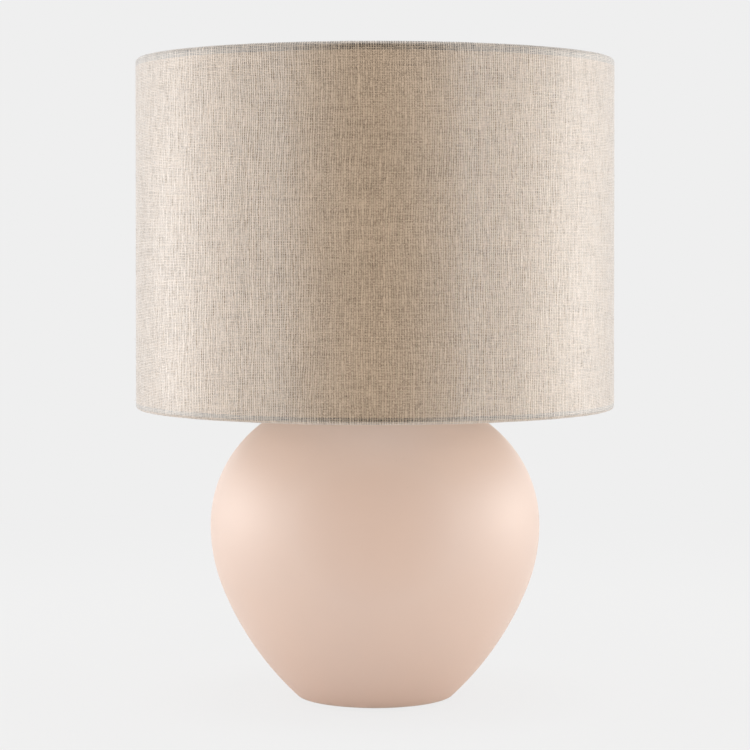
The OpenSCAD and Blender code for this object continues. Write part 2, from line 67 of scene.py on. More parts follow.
def put(tree, kind, wires=None, **settings):
    """Adds a node, with its settings, and with a value or a wire for each named input."""
    node = tree.nodes.new(kind)
    for name, value in settings.items():
        setattr(node, name, value)
    for key, value in (wires or {}).items():
        if isinstance(value, bpy.types.NodeSocket):
            tree.links.new(value, node.inputs[key])
        else:
            node.inputs[key].default_value = value
    return node


def sums(tree, operation, *values, clamp=False):
    """The result of a maths node."""
    node = put(tree, "ShaderNodeMath", dict(enumerate(values)), operation=operation, use_clamp=clamp)
    return node.outputs[0]


def blend_of(tree, factor, a, b, mode="MIX"):
    """Two colours mixed."""
    node = put(tree, "ShaderNodeMix", data_type="RGBA", blend_type=mode, clamp_factor=True)
    for key, value in ((0, factor), (6, a), (7, b)):
        if isinstance(value, bpy.types.NodeSocket):
            tree.links.new(value, node.inputs[key])
        else:
            node.inputs[key].default_value = value if key == 0 or len(value) == 4 else (*value, 1.0)
    return node.outputs[2]


def remap(tree, value, low, high, to_low, to_high):
    """A value carried from one range to another, and held at its ends."""
    return put(tree, "ShaderNodeMapRange", {
        "Value": value, "From Min": low, "From Max": high,
        "To Min": to_low, "To Max": to_high}).outputs[0]


def speckle(tree, vector, scale, detail=2.0, rough=0.5, dims="3D"):
    """A noise value from 0 to 1."""
    return put(tree, "ShaderNodeTexNoise", {
        "Vector": vector, "Scale": scale, "Detail": detail, "Roughness": rough},
        noise_dimensions=dims).outputs[0]


def stretched(tree, vector, scale):
    """The coordinates scaled by axis."""
    return put(tree, "ShaderNodeVectorMath", {0: vector, 1: scale}, operation="MULTIPLY").outputs[0]


def new_group(name, kind, inputs, outputs):
    """A node group with named sockets; inputs maps a name to (socket type, default)."""
    tree = bpy.data.node_groups.new(name, kind)
    for label, (socket, default) in inputs.items():
        made = tree.interface.new_socket(label, in_out="INPUT", socket_type=socket)
        if default is not None:
            made.default_value = default
    for label, socket in outputs.items():
        tree.interface.new_socket(label, in_out="OUTPUT", socket_type=socket)
    return tree, tree.nodes.new("NodeGroupInput"), tree.nodes.new("NodeGroupOutput")


def hand_out(tree, result, **values):
    """Wires the values that a group gives out."""
    for socket, value in values.items():
        tree.links.new(value, result.inputs[socket])
    return tree


FLOAT, COLOUR, VECTOR = "NodeSocketFloat", "NodeSocketColor", "NodeSocketVector"
WHOLE, GEOMETRY, FINISH = "NodeSocketInt", "NodeSocketGeometry", "NodeSocketMaterial"


# ---------------------------------------------------------------- effects shared by materials

# linen thread: spacing in metres, then how high it lies in the cloth and how far it rises at a crossing
WARP_PITCH, WEFT_PITCH = 0.00142, 0.00092
WARP_LEVEL, WARP_RISE = 0.85, 0.13
WEFT_LEVEL, WEFT_RISE = 0.63, -0.16
THINNEST, THREAD_DEPTH = 0.08, 0.001
# how far a thread strays from its line, in spacings: finely, and in long leans across the cloth
WARP_WANDER, WEFT_WANDER, LEAN = 1.3, 1.1, 3.0
# for each set of threads: which part of the noise it reads, and how fast its thickness changes
WARP_NOISE, WEFT_NOISE = (55.0, 0.09), (40.0, 0.035)


def plain_weave_group():
    """Warp and weft threads crossing over and under, their low parts and the gaps between them painted
    darker as shade. Vector is the cloth's own flat place, in metres.
    """
    tree, given, result = new_group("plain_weave", "ShaderNodeTree", {
        "Vector": (VECTOR, None),
        "Warp Pitch": (FLOAT, WARP_PITCH), "Weft Pitch": (FLOAT, WEFT_PITCH),
        "Slub": (FLOAT, 0.5), "Openness": (FLOAT, 0.25), "Knots": (FLOAT, 1.2), "ReliefShade": (FLOAT, 0.35),
        "Light Yarn": (COLOUR, (0.6, 0.5, 0.4, 1)), "Dark Yarn": (COLOUR, (0.3, 0.2, 0.15, 1)),
        "Gap": (COLOUR, (0.05, 0.04, 0.03, 1))},
        {"Color": COLOUR, "Height": FLOAT})
    g = given.outputs
    flat = put(tree, "ShaderNodeSeparateXYZ", {0: g["Vector"]})
    wander = speckle(tree, stretched(tree, g["Vector"], (500.0, 90.0, 1.0)), 1.0, 2.0)
    wander_weft = speckle(tree, stretched(tree, g["Vector"], (120.0, 700.0, 1.0)), 1.0, 2.0)
    lean = speckle(tree, stretched(tree, g["Vector"], (26.0, 12.0, 1.0)), 1.0, 1.0)
    sag = speckle(tree, stretched(tree, g["Vector"], (9.0, 30.0, 1.0)), 1.0, 1.0)
    x = sums(tree, "ADD", sums(tree, "DIVIDE", flat.outputs[0], g["Warp Pitch"]), sums(
        tree, "ADD", sums(tree, "MULTIPLY", wander, WARP_WANDER), sums(tree, "MULTIPLY", lean, LEAN)))
    y = sums(tree, "ADD", sums(tree, "DIVIDE", flat.outputs[1], g["Weft Pitch"]), sums(
        tree, "ADD", sums(tree, "MULTIPLY", wander_weft, WEFT_WANDER), sums(tree, "MULTIPLY", sag, LEAN)))
    threads = []
    for across, along, (layer, evenness) in ((x, y, WARP_NOISE), (y, x, WEFT_NOISE)):
        number = sums(tree, "FLOOR", across)
        place = put(tree, "ShaderNodeCombineXYZ", {
            0: sums(tree, "MULTIPLY", number, 7.31),
            1: sums(tree, "MULTIPLY", along, evenness), 2: layer}).outputs[0]
        slub = speckle(tree, place, 1.0, 3.0, 0.65)
        shade = put(tree, "ShaderNodeTexWhiteNoise", {"W": number}, noise_dimensions="1D").outputs[0]
        offset = sums(tree, "SUBTRACT", sums(tree, "FRACT", across), 0.5)
        swell = sums(tree, "MULTIPLY", g["Slub"], sums(tree, "SUBTRACT", slub, 0.5))
        width = sums(tree, "SUBTRACT", sums(tree, "ADD", 0.5, swell),
                     sums(tree, "MULTIPLY", g["Openness"], 0.5))
        ratio = sums(tree, "DIVIDE", offset, sums(tree, "MAXIMUM", width, THINNEST))
        dome = sums(tree, "SQRT", sums(tree, "MAXIMUM", sums(
            tree, "SUBTRACT", 1.0, sums(tree, "MULTIPLY", ratio, ratio)), 0.0))
        threads.append((number, dome, slub, shade))
    (i, warp, warp_slub, warp_shade), (j, weft, weft_slub, weft_shade) = threads
    # over and under: a warp thread is up where the weft is down, and the next thread the other way round
    phase = sums(tree, "ADD", sums(tree, "MULTIPLY", y, math.pi), sums(tree, "MULTIPLY", i, math.pi))
    phase_weft = sums(tree, "ADD", sums(tree, "MULTIPLY", x, math.pi), sums(tree, "MULTIPLY", j, math.pi))
    warp_up = sums(tree, "MULTIPLY", sums(tree, "SINE", phase), WARP_RISE)
    weft_up = sums(tree, "MULTIPLY", sums(tree, "SINE", phase_weft), WEFT_RISE)
    warp_h = sums(tree, "MULTIPLY", warp, sums(tree, "ADD", WARP_LEVEL, warp_up))
    weft_h = sums(tree, "MULTIPLY", weft, sums(tree, "ADD", WEFT_LEVEL, weft_up))
    height = sums(tree, "MAXIMUM", warp_h, weft_h)
    top = sums(tree, "GREATER_THAN", warp_h, weft_h)
    # the yarn is spun unevenly, so its tone changes from one crossing to the next
    knots = []
    for number, along in ((i, y), (j, x)):
        spot = put(tree, "ShaderNodeCombineXYZ", {
            0: sums(tree, "MULTIPLY", number, 3.77), 1: sums(tree, "MULTIPLY", along, 0.8)}).outputs[0]
        knots.append(sums(tree, "SUBTRACT", speckle(tree, spot, 1.0, 2.0, 0.7, "2D"), 0.5))
    tone_warp = sums(tree, "ADD", sums(tree, "MULTIPLY", warp_slub, 0.5),
                     sums(tree, "MULTIPLY", warp_shade, 0.14))
    tone_weft = sums(tree, "ADD", sums(tree, "MULTIPLY", sums(tree, "SUBTRACT", weft_slub, 0.14), 1.1),
                     sums(tree, "MULTIPLY", weft_shade, 0.1))
    tone_warp = sums(tree, "ADD", tone_warp, sums(tree, "MULTIPLY", knots[0], g["Knots"]))
    tone_weft = sums(tree, "ADD", tone_weft, sums(tree, "MULTIPLY", knots[1], g["Knots"]))
    tone = put(tree, "ShaderNodeMix", {0: top, 2: tone_weft, 3: tone_warp}, data_type="FLOAT").outputs[0]
    # painted shade and highlight: the tone is darker on the low parts of the threads and lighter on their
    # tops
    tone = sums(tree, "ADD", tone, sums(tree, "MULTIPLY", sums(tree, "SUBTRACT", height, 0.6), g["ReliefShade"]))
    tone = remap(tree, tone, -0.13, 0.53, 0.0, 1.0)
    yarn = blend_of(tree, tone, g["Dark Yarn"], g["Light Yarn"])
    # painted shade: the gaps between the threads are coloured darker
    gap_shade = remap(tree, height, 0.12, 0.4, 1.0, 0.0)
    colour = blend_of(tree, gap_shade, yarn, g["Gap"])
    return hand_out(tree, result, Color=colour, Height=height)


def fine_grain_group():
    """Small variation in tone and sheen, for moulded, cast, painted and fired surfaces."""
    tree, given, result = new_group("fine_grain", "ShaderNodeTree", {
        "Vector": (VECTOR, None), "Scale": (FLOAT, 400.0), "Tone": (COLOUR, (0.5, 0.5, 0.5, 1)),
        "Tone Change": (FLOAT, 0.05), "Roughness": (FLOAT, 0.5), "Roughness Change": (FLOAT, 0.1)},
        {"Color": COLOUR, "Roughness": FLOAT, "Height": FLOAT})
    g = given.outputs
    grain = speckle(tree, g["Vector"], g["Scale"], 4.0, 0.55)
    cloud = speckle(tree, g["Vector"], sums(tree, "MULTIPLY", g["Scale"], 0.06), 2.0)
    both = sums(tree, "ADD", sums(tree, "MULTIPLY", grain, 0.5), sums(tree, "MULTIPLY", cloud, 0.5))
    off = sums(tree, "MULTIPLY", sums(tree, "SUBTRACT", both, 0.5), 2.0)
    lift = sums(tree, "ADD", 1.0, sums(tree, "MULTIPLY", off, g["Tone Change"]))
    colour = put(tree, "ShaderNodeVectorMath", {0: g["Tone"], "Scale": lift}, operation="SCALE").outputs[0]
    change = sums(tree, "MULTIPLY", off, g["Roughness Change"])
    rough = sums(tree, "ADD", g["Roughness"], change, clamp=True)
    return hand_out(tree, result, Color=colour, Roughness=rough, Height=grain)


# how finely the tool's rings follow each other, and how deep they are in metres
RING_FINENESS, RING_DEPTH = 3500.0, 0.000006


def spun_marks_group():
    """Fine rings round the lamp's axis and faint tarnish, for spun, turned and drawn metal."""
    tree, given, result = new_group("spun_marks", "ShaderNodeTree", {
        "Vector": (VECTOR, None), "Tone": (COLOUR, (0.8, 0.6, 0.3, 1)),
        "Tarnish": (COLOUR, (0.4, 0.28, 0.12, 1)), "Tarnish Amount": (FLOAT, 0.3),
        "Roughness": (FLOAT, 0.3)},
        {"Color": COLOUR, "Roughness": FLOAT, "Height": FLOAT})
    g = given.outputs
    place = put(tree, "ShaderNodeSeparateXYZ", {0: g["Vector"]})
    out = sums(tree, "SQRT", sums(tree, "ADD", sums(tree, "MULTIPLY", place.outputs[0], place.outputs[0]),
                                  sums(tree, "MULTIPLY", place.outputs[1], place.outputs[1])))
    rings = put(tree, "ShaderNodeCombineXYZ", {
        0: sums(tree, "MULTIPLY", out, RING_FINENESS),
        2: sums(tree, "MULTIPLY", place.outputs[2], RING_FINENESS)}).outputs[0]
    lines = speckle(tree, rings, 1.0, 3.0, 0.6)
    patch = remap(tree, speckle(tree, g["Vector"], 90.0, 5.0, 0.6), 0.45, 0.7, 0.0, 1.0)
    colour = blend_of(tree, sums(tree, "MULTIPLY", patch, g["Tarnish Amount"]), g["Tone"], g["Tarnish"])
    rough = sums(tree, "ADD", g["Roughness"], sums(tree, "ADD",
                 sums(tree, "MULTIPLY", sums(tree, "SUBTRACT", lines, 0.5), 0.16),
                 sums(tree, "MULTIPLY", patch, 0.1)), clamp=True)
    return hand_out(tree, result, Color=colour, Roughness=rough, Height=lines)


GROUPS = {"weave": plain_weave_group(), "grain": fine_grain_group(), "spun": spun_marks_group()}


# ---------------------------------------------------------------- materials

def empty_tree(made):
    """The node tree of a new material or world, with nothing in it."""
    made.use_nodes = True
    made.node_tree.nodes.clear()
    return made.node_tree


def start_material(name, **plain):
    """A material with its shader, whose plain values are set on the shader's own sockets."""
    made = bpy.data.materials.new(name)
    tree = empty_tree(made)
    shader = put(tree, "ShaderNodeBsdfPrincipled", plain)
    put(tree, "ShaderNodeOutputMaterial", {"Surface": shader.outputs[0]})
    return made, tree, shader


def effect(tree, group, **wires):
    """One of the shared groups placed in a material."""
    node = tree.nodes.new("ShaderNodeGroup")
    node.node_tree = GROUPS[group]
    for key, value in wires.items():
        socket = node.inputs[key.replace("_", " ")]
        if isinstance(value, bpy.types.NodeSocket):
            tree.links.new(value, socket)
        else:
            socket.default_value = (*value, 1.0) if isinstance(value, tuple) and len(value) == 3 else value
    return node


def bumped(tree, shader, height, distance):
    """Raises the surface by a height from 0 to 1 times a distance in metres."""
    node = put(tree, "ShaderNodeBump", {"Height": height, "Distance": distance, "Strength": 1.0})
    tree.links.new(node.outputs[0], shader.inputs["Normal"])


def own_place(tree):
    """The place on the object, in metres."""
    return put(tree, "ShaderNodeTexCoord").outputs["Object"]


def grained(name, tone, rough, scale=400.0, tone_change=0.05, rough_change=0.1, bump=0.00002, **plain):
    """A moulded, cast, painted or fired finish."""
    made, tree, shader = start_material(name, **plain)
    grain = effect(tree, "grain", Vector=own_place(tree), Scale=scale, Tone=tone, Tone_Change=tone_change,
                   Roughness=rough, Roughness_Change=rough_change)
    tree.links.new(grain.outputs["Color"], shader.inputs["Base Color"])
    tree.links.new(grain.outputs["Roughness"], shader.inputs["Roughness"])
    bumped(tree, shader, grain.outputs["Height"], bump)
    return made


def spun_metal(name, tone, tarnish, amount, rough):
    """Turned, spun or drawn metal."""
    made, tree, shader = start_material(name, Metallic=1.0)
    marks = effect(tree, "spun", Vector=own_place(tree), Tone=tone, Tarnish=tarnish, Tarnish_Amount=amount,
                   Roughness=rough)
    tree.links.new(marks.outputs["Color"], shader.inputs["Base Color"])
    tree.links.new(marks.outputs["Roughness"], shader.inputs["Roughness"])
    bumped(tree, shader, marks.outputs["Height"], RING_DEPTH)
    return made


def grazing(tree, start, full):
    """Nought where a surface is seen square on, rising to one as it turns away: for gloss and sheen."""
    facing = put(tree, "ShaderNodeLayerWeight", {"Blend": 0.5}).outputs["Facing"]
    return remap(tree, facing, start, full, 0.0, 1.0)


def matte_glaze():
    """A thin satin glaze over pale clay: soft clouds, a fine eggshell surface, a few pin-pricks painted
    darker as shade in them.
    """
    made, tree, shader = start_material("matte_blush_glaze", **{
        "Specular IOR Level": 0.5, "Coat Roughness": 0.6, "Coat IOR": 1.85})
    tree.links.new(grazing(tree, 0.0, 0.14), shader.inputs["Coat Weight"])
    place = own_place(tree)
    cloud = speckle(tree, place, 14.0, 3.0, 0.5)
    grain = effect(tree, "grain", Vector=place, Scale=900.0, Tone=(0.672, 0.492, 0.400), Tone_Change=0.02,
                   Roughness=0.55, Roughness_Change=0.06)
    warm = blend_of(tree, remap(tree, cloud, 0.35, 0.65, 0.0, 0.5), grain.outputs["Color"],
                    (0.692, 0.497, 0.392))
    pits = put(tree, "ShaderNodeTexVoronoi", {"Vector": place, "Scale": 260.0, "Randomness": 1.0})
    pit = remap(tree, pits.outputs["Distance"], 0.03, 0.09, 1.0, 0.0)
    rare = remap(tree, speckle(tree, place, 60.0, 1.0), 0.62, 0.66, 0.0, 1.0)
    pit = sums(tree, "MULTIPLY", pit, rare)
    # painted shade: the pin-pricks are coloured darker than the glaze
    colour = blend_of(tree, sums(tree, "MULTIPLY", pit, 0.35), warm, (0.40, 0.27, 0.2))
    tree.links.new(colour, shader.inputs["Base Color"])
    tree.links.new(grain.outputs["Roughness"], shader.inputs["Roughness"])
    shell = sums(tree, "SUBTRACT", sums(tree, "ADD", speckle(tree, place, 700.0, 2.0),
                                        sums(tree, "MULTIPLY", speckle(tree, place, 45.0, 2.0), 3.0)),
                 sums(tree, "MULTIPLY", pit, 2.0))
    bumped(tree, shader, shell, 0.00004)
    return made


def linen(name, light, dark, gap_shade, openness, slub, hollow):
    """Natural linen in plain weave, laid out by the cloth's own map in metres.

    Its loose fibres shine where it turns away, and hollow is how much of that the lowest threads keep.
    """
    made, tree, shader = start_material(name, **{
        "Specular IOR Level": 0.25, "Coat Roughness": 0.55, "Coat IOR": 3.6,
        "Sheen Roughness": 0.5, "Sheen Tint": (1, 1, 1, 1)})
    flat = put(tree, "ShaderNodeUVMap", uv_map="cloth").outputs[0]
    weave = effect(tree, "weave", Vector=flat, Light_Yarn=light, Dark_Yarn=dark, Gap=gap_shade,
                   Openness=openness, Slub=slub)
    cloud = speckle(tree, stretched(tree, flat, (9.0, 14.0, 1.0)), 1.0, 2.0)
    clouds = put(tree, "ShaderNodeCombineColor", {
        channel: remap(tree, cloud, 0.3, 0.7, 0.97, 1.03) for channel in range(3)}).outputs[0]
    colour = blend_of(tree, 1.0, weave.outputs["Color"], clouds, "MULTIPLY")
    tree.links.new(colour, shader.inputs["Base Color"])
    tree.links.new(remap(tree, weave.outputs["Height"], 0.0, 1.0, 0.8, 0.65), shader.inputs["Roughness"])
    veil = sums(tree, "ADD", sums(tree, "MULTIPLY", grazing(tree, 0.0, 0.085), 0.82),
                sums(tree, "MULTIPLY", grazing(tree, 0.25, 0.5), 0.18))
    fuzz = sums(tree, "MULTIPLY", veil, remap(tree, weave.outputs["Height"], 0.45, 0.8, hollow, 1.0))
    tree.links.new(fuzz, shader.inputs["Coat Weight"])
    tree.links.new(fuzz, shader.inputs["Sheen Weight"])
    bumped(tree, shader, weave.outputs["Height"], THREAD_DEPTH)
    return made


MATERIALS = {
    "ceramic": matte_glaze(),
    "bisque": grained("unglazed_foot", (0.62, 0.50, 0.41), 0.85, 1400.0, 0.1, 0.05, 0.00006),
    # the third colour of each linen is painted shade in the gaps between its threads
    "linen": linen("linen_over_backing", (0.56, 0.423, 0.302), (0.245, 0.174, 0.115), (0.15, 0.108, 0.072),
                   openness=0.12, slub=0.5, hollow=0.05),
    # the bare hem's yarn is painted darker and its gaps near black, as shade where no backing lies behind
    # it
    "linen_hem": linen("linen_bare_hem", (0.50, 0.39, 0.285), (0.14, 0.10, 0.066), (0.018, 0.014, 0.010),
                       openness=0.38, slub=0.4, hollow=0.5),
    "backing": grained("white_backing_sheet", (0.87, 0.86, 0.83), 0.42, 260.0, 0.03, 0.06, 0.00003),
    "white_wire": grained("white_enamelled_wire", (0.78, 0.77, 0.73), 0.32, 500.0, 0.04, 0.08, 0.00003),
    "brass": spun_metal("lacquered_brass", (0.80, 0.58, 0.27), (0.42, 0.27, 0.10), 0.35, 0.24),
    "zinc_steel": spun_metal("zinc_plated_steel", (0.62, 0.61, 0.58), (0.36, 0.35, 0.31), 0.4, 0.36),
    "bulb_metal": spun_metal("rolled_aluminium", (0.78, 0.78, 0.76), (0.5, 0.5, 0.48), 0.25, 0.3),
    "bakelite": grained("black_bakelite", (0.018, 0.015, 0.013), 0.28, 700.0, 0.2, 0.1, 0.00002),
    "fibre": grained("red_vulcanised_fibre", (0.19, 0.045, 0.025), 0.7, 1200.0, 0.25, 0.1, 0.00005),
    "board": grained("dark_insulating_board", (0.05, 0.042, 0.035), 0.8, 1500.0, 0.3, 0.1, 0.00006),
    "fibreboard": grained("brown_fibreboard", (0.25, 0.15, 0.08), 0.85, 1600.0, 0.35, 0.08, 0.00008),
    "felt": grained("taupe_felt", (0.30, 0.26, 0.22), 0.95, 2600.0, 0.45, 0.03, 0.0002, **{
        "Sheen Weight": 0.6, "Sheen Roughness": 0.5}),
    "nylon": grained("ivory_nylon", (0.74, 0.68, 0.58), 0.4, 500.0, 0.05, 0.08, 0.00003),
    "vitrite": grained("black_glass_vitrite", (0.012, 0.012, 0.015), 0.12, 300.0, 0.1, 0.05, 0.00001),
    "nickel": spun_metal("nickel_wire", (0.66, 0.64, 0.6), (0.45, 0.42, 0.38), 0.2, 0.3),
    "flax": grained("flax_fibre", (0.58, 0.48, 0.36), 0.8, 900.0, 0.2, 0.05),
    "phosphor": grained("led_phosphor", (0.83, 0.56, 0.12), 0.55, 2500.0, 0.12, 0.05, 0.00005),
}


def clear_glass():
    """Thin blown glass, with faint cords in it."""
    made, tree, shader = start_material("clear_blown_glass", **{
        "Transmission Weight": 1.0, "IOR": 1.45, "Base Color": (0.97, 0.985, 0.975, 1.0)})
    place = own_place(tree)
    rough = remap(tree, speckle(tree, place, 60.0, 2.0), 0.3, 0.7, 0.01, 0.035)
    tree.links.new(rough, shader.inputs["Roughness"])
    bumped(tree, shader, speckle(tree, place, 30.0, 2.0), 0.00015)
    return made


MATERIALS["glass"] = clear_glass()


# ---------------------------------------------------------------- geometry trees

def tree_of(name, inputs):
    """Begins every tree: the geometry it works on, its own sizes and the finish it gives."""
    tree, given, result = new_group(name, "GeometryNodeTree", {
        "Geometry": (GEOMETRY, None), **inputs, "Material": (FINISH, None)}, {"Geometry": GEOMETRY})
    tree.is_modifier = True
    return tree, given.outputs, result


def close_tree(tree, g, result, shape):
    """Ends every tree: real geometry, its shading and its finish."""
    real = put(tree, "GeometryNodeRealizeInstances", {"Geometry": shape}).outputs[0]
    shaded = put(tree, "GeometryNodeSetShadeSmooth", {"Geometry": real, "Shade Smooth": True}).outputs[0]
    finished = put(tree, "GeometryNodeSetMaterial", {"Geometry": shaded, "Material": g["Material"]})
    return hand_out(tree, result, Geometry=finished.outputs[0])


def sealed(tree, shape):
    """Doubled points made one, where a seam or a pole closes."""
    return put(tree, "GeometryNodeMergeByDistance", {"Geometry": shape, "Distance": 0.000001}).outputs[0]


def columns_and_rows(tree, rows):
    """Which column and which row of a grid each point is in."""
    index = put(tree, "GeometryNodeInputIndex").outputs[0]
    column = sums(tree, "FLOOR", sums(tree, "DIVIDE", sums(tree, "ADD", index, 0.5), rows))
    return column, sums(tree, "SUBTRACT", index, sums(tree, "MULTIPLY", column, rows))


def round_the_axis(tree, grid, radius, angle, height):
    """A grid whose points are set by radius, angle and height."""
    spot = put(tree, "ShaderNodeCombineXYZ", {
        0: sums(tree, "MULTIPLY", radius, sums(tree, "COSINE", angle)),
        1: sums(tree, "MULTIPLY", radius, sums(tree, "SINE", angle)),
        2: height}).outputs[0]
    moved = put(tree, "GeometryNodeSetPosition", {"Geometry": grid.outputs["Mesh"], "Position": spot})
    return sealed(tree, moved.outputs[0])


def turned_tree():
    """Turns a section, given as a chain of points in the XZ plane, about the Z axis."""
    tree, g, result = tree_of("turned_form", {"Segments": (WHOLE, 128), "Sweep": (FLOAT, TAU)})
    rows = put(tree, "GeometryNodeAttributeDomainSize", {"Geometry": g["Geometry"]}).outputs["Point Count"]
    grid = put(tree, "GeometryNodeMeshGrid", {
        "Vertices X": sums(tree, "ADD", g["Segments"], 1.0), "Vertices Y": rows})
    column, row = columns_and_rows(tree, rows)
    angle = sums(tree, "DIVIDE", sums(tree, "MULTIPLY", column, g["Sweep"]), g["Segments"])
    place = put(tree, "GeometryNodeSampleIndex", {
        "Geometry": g["Geometry"], "Value": put(tree, "GeometryNodeInputPosition").outputs[0],
        "Index": sums(tree, "ROUND", row)}, data_type="FLOAT_VECTOR", domain="POINT").outputs[0]
    point = put(tree, "ShaderNodeSeparateXYZ", {0: place}).outputs
    return close_tree(tree, g, result, round_the_axis(tree, grid, point[0], angle, point[2]))


def thread_tree():
    """A rolled screw thread: a sleeve whose radius rises and falls along a helix, fading at its ends."""
    tree, g, result = tree_of("rolled_thread", {
        "Radius": (FLOAT, 0.005), "Depth": (FLOAT, 0.0005), "Pitch": (FLOAT, 0.001),
        "Length": (FLOAT, 0.01), "Bottom": (FLOAT, 0.0), "Segments": (WHOLE, 48), "Rows": (WHOLE, 60)})
    grid = put(tree, "GeometryNodeMeshGrid", {
        "Vertices X": sums(tree, "ADD", g["Segments"], 1.0), "Vertices Y": g["Rows"]})
    column, row = columns_and_rows(tree, g["Rows"])
    turn = sums(tree, "DIVIDE", column, g["Segments"])
    up = sums(tree, "DIVIDE", row, sums(tree, "SUBTRACT", g["Rows"], 1.0))
    rise = sums(tree, "MULTIPLY", up, g["Length"])
    turns_up = sums(tree, "DIVIDE", rise, g["Pitch"])
    phase = sums(tree, "MULTIPLY", sums(tree, "SUBTRACT", turns_up, turn), TAU)
    wave = sums(tree, "MULTIPLY", sums(tree, "SUBTRACT", 1.0, sums(tree, "COSINE", phase)), 0.5)
    ends = sums(tree, "MULTIPLY", remap(tree, rise, 0.0, g["Pitch"], 0.0, 1.0),
                remap(tree, sums(tree, "SUBTRACT", g["Length"], rise), 0.0, g["Pitch"], 0.0, 1.0))
    radius = sums(tree, "SUBTRACT", g["Radius"], sums(tree, "MULTIPLY", g["Depth"], sums(
        tree, "SUBTRACT", 1.0, sums(tree, "MULTIPLY", wave, ends))))
    thread = round_the_axis(tree, grid, radius, sums(tree, "MULTIPLY", turn, TAU),
                            sums(tree, "ADD", rise, g["Bottom"]))
    whole = put(tree, "GeometryNodeJoinGeometry")
    tree.links.new(thread, whole.inputs[0])
    tree.links.new(g["Geometry"], whole.inputs[0])
    return close_tree(tree, g, result, whole.outputs[0])


def wire_tree():
    """Wire bent along chains of edges."""
    tree, g, result = tree_of("bent_wire", {"Thickness": (FLOAT, 0.003), "Sides": (WHOLE, 20)})
    path = put(tree, "GeometryNodeMeshToCurve", {0: g["Geometry"]}).outputs[0]
    round_wire = put(tree, "GeometryNodeCurvePrimitiveCircle", {
        "Resolution": g["Sides"], "Radius": sums(tree, "MULTIPLY", g["Thickness"], 0.5)}).outputs[0]
    wire = put(tree, "GeometryNodeCurveToMesh", {0: path, 1: round_wire, "Fill Caps": True}).outputs[0]
    return close_tree(tree, g, result, wire)


def fibre_tree():
    """Short loose fibres that stand off a surface."""
    tree, g, result = tree_of("loose_fibres", {
        "Density": (FLOAT, 5000.0), "Fibre Length": (FLOAT, 0.003), "Fibre Width": (FLOAT, 0.00004),
        "Seed": (WHOLE, 7)})
    spread = put(tree, "GeometryNodeDistributePointsOnFaces", {
        "Mesh": g["Geometry"], "Density": g["Density"], "Seed": g["Seed"]})
    # one hair of unit length, curled away from its root
    curl = put(tree, "GeometryNodeCurveArc", {"Resolution": 5, "Radius": 0.5, "Sweep Angle": 2.4})
    rooted = put(tree, "GeometryNodeTransform", {
        "Geometry": curl.outputs[0], "Translation": (-0.5, 0.0, 0.0)}).outputs[0]
    round_hair = put(tree, "GeometryNodeCurvePrimitiveCircle", {
        "Resolution": 3, "Radius": sums(tree, "DIVIDE", g["Fibre Width"], g["Fibre Length"])}).outputs[0]
    hair = put(tree, "GeometryNodeCurveToMesh", {0: rooted, 1: round_hair}).outputs[0]
    tilt = put(tree, "FunctionNodeRandomValue", {
        0: (-0.7, -0.7, 0.0), 1: (0.7, 0.7, TAU), "Seed": g["Seed"]}, data_type="FLOAT_VECTOR").outputs[0]
    facing = put(tree, "FunctionNodeRotateRotation", {
        "Rotation": spread.outputs["Rotation"],
        "Rotate By": put(tree, "FunctionNodeEulerToRotation", {0: tilt}).outputs[0]},
        rotation_space="LOCAL").outputs[0]
    size = sums(tree, "MULTIPLY", g["Fibre Length"], put(
        tree, "FunctionNodeRandomValue", {2: 0.4, 3: 1.0, "Seed": 3}, data_type="FLOAT").outputs[1])
    hairs = put(tree, "GeometryNodeInstanceOnPoints", {
        "Points": spread.outputs["Points"], "Instance": hair, "Rotation": facing, "Scale": size}).outputs[0]
    return close_tree(tree, g, result, hairs)


TREES = {"turned": turned_tree(), "thread": thread_tree(), "wire": wire_tree(), "fibres": fibre_tree()}


# ---------------------------------------------------------------- making pieces

def mesh_object(name, points, faces=(), edges=()):
    """An object in the scene, from points in metres."""
    mesh = bpy.data.meshes.new(name)
    mesh.from_pydata([tuple(p) for p in points], list(edges), list(faces))
    made = bpy.data.objects.new(name, mesh)
    bpy.context.scene.collection.objects.link(made)
    return made


def apply_steps(obj):
    """Works an object's modifiers into a plain mesh."""
    bpy.context.view_layer.update()
    done = obj.evaluated_get(bpy.context.evaluated_depsgraph_get())
    mesh = bpy.data.meshes.new_from_object(done)
    obj.modifiers.clear()
    obj.data = mesh


def grow(obj, tree, material, crease=40.0, **inputs):
    """Runs a geometry tree on an object and keeps the result as its mesh."""
    step = obj.modifiers.new(tree, "NODES")
    step.node_group = TREES[tree]
    inputs["Material"] = MATERIALS[material]
    for item in TREES[tree].interface.items_tree:
        key = item.name.replace(" ", "_")
        if item.item_type == "SOCKET" and item.in_out == "INPUT" and key in inputs:
            step[item.identifier] = inputs[key]
    apply_steps(obj)
    point_outwards(obj)
    obj.data.set_sharp_from_angle(angle=math.radians(crease))
    return obj


def point_outwards(obj):
    """Merges doubled points and turns every face outwards."""
    shape = bmesh.new()
    shape.from_mesh(obj.data)
    bmesh.ops.remove_doubles(shape, verts=shape.verts, dist=0.0000005)
    bmesh.ops.recalc_face_normals(shape, faces=shape.faces)
    shape.to_mesh(obj.data)
    shape.free()


def chain(name, points):
    """A line of edges through points given in millimetres."""
    edges = [(i, i + 1) for i in range(len(points) - 1)]
    return mesh_object(name, [Vector(p) * MM for p in points], edges=edges)


def turned(name, section, material, segments=128, crease=40.0):
    """A piece turned about the lamp's axis from a section of (radius, height) points in millimetres."""
    line = chain(name, [(r, 0.0, z) for r, z in section])
    return grow(line, "turned", material, crease, Segments=segments)


